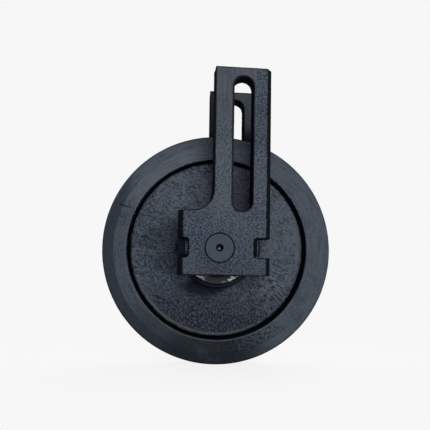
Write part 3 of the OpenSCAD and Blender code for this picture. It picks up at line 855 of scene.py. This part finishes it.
class IDLER_OT_brackets(Operator):
    """Mesh the two brackets as castings, with eased edges and a sanded skin"""

    bl_idname = "idler.brackets"
    bl_label = "Brackets"

    lump_scale, swell_scale = 240, 60

    def trued(self, place, s):
        """Place of a point moved from the solid's facets to the true arc of slot end or hollow."""
        along = (abs(place.y) - s.inner_face) / (s.outer_face - s.inner_face)
        hollow = s.hollow_inner + along * (s.hollow_outer - s.hollow_inner)
        arcs = (
            (s.hollow_x, s.hollow_z, hollow, place.x > s.hollow_x and place.z < s.hollow_z),
            (s.slot_x, s.slot_low, s.slot_radius, place.z < s.slot_low),
            (s.slot_x, s.slot_high, s.slot_radius, place.z > s.slot_high),
        )
        for x, z, radius, inside in arcs:
            reach = math.hypot(place.x - x, place.z - z)
            if inside and abs(reach - radius) < s.facet_error:
                grow = radius / reach
                return Vector((x + (place.x - x) * grow, place.y, z + (place.z - z) * grow))
        return place

    def skinned(self, place, normal, finish):
        """Place of a point after the skin is pressed in, and after the bore is opened."""
        radius = math.hypot(place.x, place.z)
        bore = SHAFT_HIGH.x + finish.bore_room
        if radius < bore:
            return Vector((place.x * bore / radius, place.y, place.z * bore / radius))
        if radius < finish.seat_radius and abs(place.y) < finish.seat_plane:
            return place
        swell = 0.6 * noise.noise(place * self.swell_scale)
        lumps = noise.fractal(place * self.lump_scale, 0.9, 2.0, 2) + swell
        return place - normal * finish.skin_depth * (1 + 0.6 * lumps)

    def execute(self, context):
        finish = context.scene.idler_bracket
        colours = context.scene.idler_colours
        paint = bracket_paint(colours, finish)
        for side in SIDES:
            node = "bracket_" + side
            piece = eased_copy(node, node + "_dressed", finish.mesh_step, finish.ease_passes)
            mesh = piece.data
            skin = [self.skinned(self.trued(v.co, finish), v.normal, finish) for v in mesh.vertices]
            mesh.vertices.foreach_set("co", [c for place in skin for c in place])
            mesh.materials.clear()
            mesh.materials.append(paint)
            mesh.shade_smooth()
            mesh.update()
            seat(piece, "yoke", "bracket_casting", node)
        return {"FINISHED"}


def hex_reach(turn, flats):
    """Distance from the axis to the side of a hexagon that has a corner at turn 0."""
    return flats / 2 / math.cos(turn % (math.pi / 3) - math.pi / 6)


def x_lathe(name, rows, plane, material, closed):
    """Piece round an axis along X at y = plane, from rows of functions that give (x, radius) at a turn."""
    points = []
    for row in rows:
        for k in range(FACETS):
            turn = 2 * math.pi * k / FACETS
            x, radius = row(turn)
            points.append((x, plane + radius * math.cos(turn), radius * math.sin(turn)))
    faces = grid_faces(len(rows), FACETS)
    if not closed:
        faces = faces[:-FACETS]
    piece = new_piece(name, points, faces, [material], crease=math.radians(25))
    work = bmesh.new()
    work.from_mesh(piece.data)
    bmesh.ops.remove_doubles(work, verts=work.verts, dist=0.000001)
    bmesh.ops.recalc_face_normals(work, faces=work.faces)
    work.to_mesh(piece.data)
    work.free()
    return piece


def ring(x, radius):
    """Row of constant x and radius."""
    return lambda turn: (x, radius)


def hex_row(x, flats):
    """Row along the sides of a hexagon."""
    return lambda turn: (x, hex_reach(turn, flats))


def chamfer_row(x, flats, face_radius, way):
    """Row where a 30 degree chamfer from a round end face at x meets the hexagon."""
    fall = math.tan(math.radians(30))
    return lambda turn: (
        x - way * max(0.0, hex_reach(turn, flats) - face_radius) * fall,
        hex_reach(turn, flats),
    )


def fasten(family, rows, material, closed=False):
    """Makes one piece of a family of fasteners in each bracket."""
    for side in SIDES:
        node = family + side
        plane = sum(corner.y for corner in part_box(node)) / 2
        piece = x_lathe(node + "_dressed", rows, plane, material, closed)
        seat(piece, "yoke", "bolt_steel", node)


class IDLER_OT_lock_bolts(Operator):
    """Make the lock bolts, with chamfered heads and cut threads"""

    bl_idname = "idler.lock_bolts"
    bl_label = "Lock bolts"

    rows_per_turn = 12
    thread_start = 0.03
    # Height of a painted highlight band across the head's flank, as a share of the head's height
    highlight_share = 0.65

    def thread(self, x, end, sizes):
        """Row of the thread at x, cut by a helix and tapered at the bolt's end."""

        def row(turn):
            phase = (x / sizes.pitch - turn / (2 * math.pi)) % 1
            cut = sizes.thread_depth * abs(2 * phase - 1)
            return x, min(sizes.thread_radius - cut, sizes.thread_radius - sizes.thread_depth + x - end)

        return row

    def execute(self, context):
        sizes = context.scene.idler_bolts
        top, end = BOLT_HIGH.x, BOLT_LOW.x
        floor = top - sizes.head_height
        highlight_x = floor + self.highlight_share * sizes.head_height
        material = black_fastener("bolt_black", context.scene.idler_colours, worn_edge_and_highlight=0.1, highlight_x=highlight_x)
        face = FACE_SHARE * sizes.flats / 2
        rows = [ring(top, 0), ring(top, 0.5 * face), ring(top, face)]
        rows.append(chamfer_row(top, sizes.flats, face, 1))
        rows.append(hex_row(floor + sizes.washer_face, sizes.flats))
        rows += [ring(floor + sizes.washer_face, face), ring(floor, face)]
        rows += [ring(floor, sizes.thread_radius), ring(-self.thread_start, sizes.thread_radius)]
        count = math.ceil((-self.thread_start - end) / sizes.pitch * self.rows_per_turn)
        for k in range(1, count + 1):
            x = -self.thread_start + (end + self.thread_start) * k / count
            rows.append(self.thread(x, end, sizes))
        rows.append(ring(end, 0))
        fasten("lock_bolt_", rows, material)
        return {"FINISHED"}


class IDLER_OT_lock_nuts(Operator):
    """Make the lock nuts, chamfered on both ends"""

    bl_idname = "idler.lock_nuts"
    bl_label = "Lock nuts"

    mouth = 0.0008
    thread_gap = 0.00002

    def execute(self, context):
        sizes = context.scene.idler_bolts
        material = black_fastener("nut_black", context.scene.idler_colours, worn_edge_and_highlight=0.1)
        near, far = NUT_HIGH.x, NUT_LOW.x
        face = FACE_SHARE * sizes.flats / 2
        bore = sizes.thread_radius + self.thread_gap
        rows = [
            ring(near, face),
            chamfer_row(near, sizes.flats, face, 1),
            chamfer_row(far, sizes.flats, face, -1),
            ring(far, face),
            ring(far, bore + self.mouth),
            ring(far + self.mouth, bore),
            ring(near - self.mouth, bore),
            ring(near, bore + self.mouth),
        ]
        fasten("lock_nut_", rows, material, closed=True)
        return {"FINISHED"}


def refinish(material, *nodes):
    """Gives solids that stay as they are their finish."""
    for node in nodes:
        mesh = NODES[node].data
        mesh.materials.clear()
        mesh.materials.append(material)


class IDLER_OT_lock_washers(Operator):
    """Finish the spring washers, with broken edges"""

    bl_idname = "idler.lock_washers"
    bl_label = "Lock washers"

    edge = 0.0004

    def execute(self, context):
        # The washers' strongly lighter edges are a painted highlight on their rims as well as wear.
        worn_edge_and_highlight = black_fastener("washer_black", context.scene.idler_colours, worn_edge_and_highlight=0.65)
        for side in SIDES:
            node = "lock_washer_" + side
            refinish(worn_edge_and_highlight, node)
            broken = NODES[node].modifiers.new("broken_edge", "BEVEL")
            broken.width = self.edge
            broken.segments = 2
        return {"FINISHED"}


class IDLER_OT_shaft(Operator):
    """Finish the shaft: painted ends, ground journal"""

    bl_idname = "idler.shaft"
    bl_label = "Shaft"

    def execute(self, context):
        refinish(painted_shaft(context.scene.idler_colours), "shaft")
        return {"FINISHED"}


class IDLER_OT_bushes(Operator):
    """Finish the bushes in turned bronze"""

    bl_idname = "idler.bushes"
    bl_label = "Bushes"

    def execute(self, context):
        colours = context.scene.idler_colours
        bronze = turned_metal("bush_bronze", colours.bronze, colours.stain, 0.25)
        refinish(bronze, *("bush_" + side for side in SIDES))
        return {"FINISHED"}


class IDLER_OT_seals(Operator):
    """Finish the metal seal rings and their rubber rings"""

    bl_idname = "idler.seals"
    bl_label = "Seals"

    def execute(self, context):
        colours = context.scene.idler_colours
        steel = turned_metal("seal_steel", colours.ground_steel, colours.stain, 0.12)
        rubber = moulded_rubber(colours)
        for side in SIDES:
            refinish(steel, "wheel_seal_ring_" + side, "bracket_seal_ring_" + side)
            refinish(rubber, "wheel_toric_" + side, "bracket_toric_" + side, "shaft_oring_" + side)
        return {"FINISHED"}


class IDLER_OT_stage(Operator):
    """Set the pale floor, the soft lights and the camera"""

    bl_idname = "idler.stage"
    bl_label = "Stage"

    floor_radius = 12.0
    floor_sides = 24
    shadow_near, shadow_far = 0.05, 0.5

    def seen(self, nodes):
        """1 for rays that show the backdrop: from the camera, from gloss and through glass."""
        rays = ("Is Camera Ray", "Is Glossy Ray", "Is Transmission Ray")
        return sum(nodes.node("LightPath", out=ray) for ray in rays).under(1.0)

    def backdrop(self, scene, pale, ambient):
        """World that shows pale and lights the object dimly from all round."""
        scene.world = bpy.data.worlds.new("soft_room")
        scene.world.use_nodes = True
        nodes = Nodes(scene.world.node_tree)
        levels = (ambient, 1.0)
        lit, shown = (nodes.node("Background", {}, {"Color": pale, "Strength": n}) for n in levels)
        mixed = nodes.node("MixShader", {}, {0: self.seen(nodes), 1: lit, 2: shown})
        nodes.node("OutputWorld", {}, {"Surface": mixed})

    def floor(self, pale, shadow):
        """Pale floor under the wheel that keeps a soft shadow near the object."""
        work = bmesh.new()
        bmesh.ops.create_circle(work, cap_ends=True, radius=self.floor_radius, segments=self.floor_sides)
        mesh = bpy.data.meshes.new("floor")
        work.to_mesh(mesh)
        work.free()
        floor = link(bpy.data.objects.new("floor", mesh))
        floor.location.z = CAD_BOX[0].z
        nodes = Finish("floor_pale")
        away = nodes.node("VectorMath", {"operation": "LENGTH"}, {0: nodes.place}, out="Value")
        near = 1 - away.step(self.shadow_near, self.shadow_far)
        lit = nodes.node("BsdfDiffuse", {}, {"Color": pale})
        shown = nodes.node("Emission", {}, {"Color": pale, "Strength": 1.0})
        plain = self.seen(nodes) * (1 - shadow * near)
        mixed = nodes.node("MixShader", {}, {0: plain, 1: lit, 2: shown})
        nodes.node("OutputMaterial", {}, {"Surface": mixed})
        mesh.materials.append(nodes.material)

    def soft_light(self, name, place, size, power):
        """Soft square light, aimed at the object, that the camera doesn't see."""
        data = bpy.data.lights.new(name, "AREA")
        data.size = size
        data.energy = power
        light = link(bpy.data.objects.new(name, data))
        light.location = place
        light.rotation_euler = (-Vector(place)).to_track_quat("-Z", "Y").to_euler()
        light.visible_camera = False

    def camera(self, scene, stage):
        """Camera at the photograph's viewing angle."""
        data = bpy.data.cameras.new("camera")
        data.sensor_width = 36.0
        data.lens = stage.camera_lens
        camera = link(bpy.data.objects.new("camera", data))
        camera.location = stage.camera_place
        camera.rotation_mode = "QUATERNION"
        roll = Quaternion((0, 0, 1), stage.camera_roll)
        camera.rotation_quaternion = Vector(stage.camera_way).to_track_quat("-Z", "Y") @ roll
        scene.camera = camera

    def execute(self, context):
        stage = context.scene.idler_stage
        pale = (*context.scene.idler_colours.pale, 1.0)
        context.scene.view_settings.view_transform = "Standard"
        self.backdrop(context.scene, pale, stage.ambient)
        self.floor(pale, stage.shadow)
        self.soft_light("key_light", stage.key_place, stage.key_size, stage.key_power)
        self.soft_light("rear_light", stage.rear_place, stage.back_size, stage.rear_power)
        self.soft_light("fill_light", stage.fill_place, stage.back_size, stage.fill_power)
        self.camera(context.scene, stage)
        return {"FINISHED"}


class IDLER_PT_build(Panel):
    """Sizes, colours and steps of the idler"""

    bl_idname = "IDLER_PT_build"
    bl_label = "Front idler"
    bl_space_type = "VIEW_3D"
    bl_region_type = "UI"
    bl_category = "Idler"

    def draw(self, context):
        for group in GROUPS:
            settings = getattr(context.scene, group)
            box = self.layout.box()
            for name in settings.bl_rna.properties.keys()[2:]:
                box.prop(settings, name)
        for operator in OPERATORS:
            self.layout.operator(operator.bl_idname)


GROUPS = {
    "idler_wheel": WheelSizes,
    "idler_bracket": BracketFinish,
    "idler_bolts": BoltSizes,
    "idler_colours": Colours,
    "idler_stage": StageSettings,
}
OPERATORS = (
    IDLER_OT_wheel,
    IDLER_OT_brackets,
    IDLER_OT_lock_bolts,
    IDLER_OT_lock_nuts,
    IDLER_OT_lock_washers,
    IDLER_OT_shaft,
    IDLER_OT_bushes,
    IDLER_OT_seals,
    IDLER_OT_stage,
)
CLASSES = (*GROUPS.values(), *OPERATORS, IDLER_PT_build)


def register():
    for item in CLASSES:
        bpy.utils.register_class(item)
    for name, group in GROUPS.items():
        setattr(bpy.types.Scene, name, PointerProperty(type=group))


def unregister():
    for name in GROUPS:
        delattr(bpy.types.Scene, name)
    for item in reversed(CLASSES):
        bpy.utils.unregister_class(item)


def main():
    register()
    for operator in OPERATORS:
        family, name = operator.bl_idname.split(".")
        getattr(getattr(bpy.ops, family), name)()


if __name__ == "__main__":
    main()
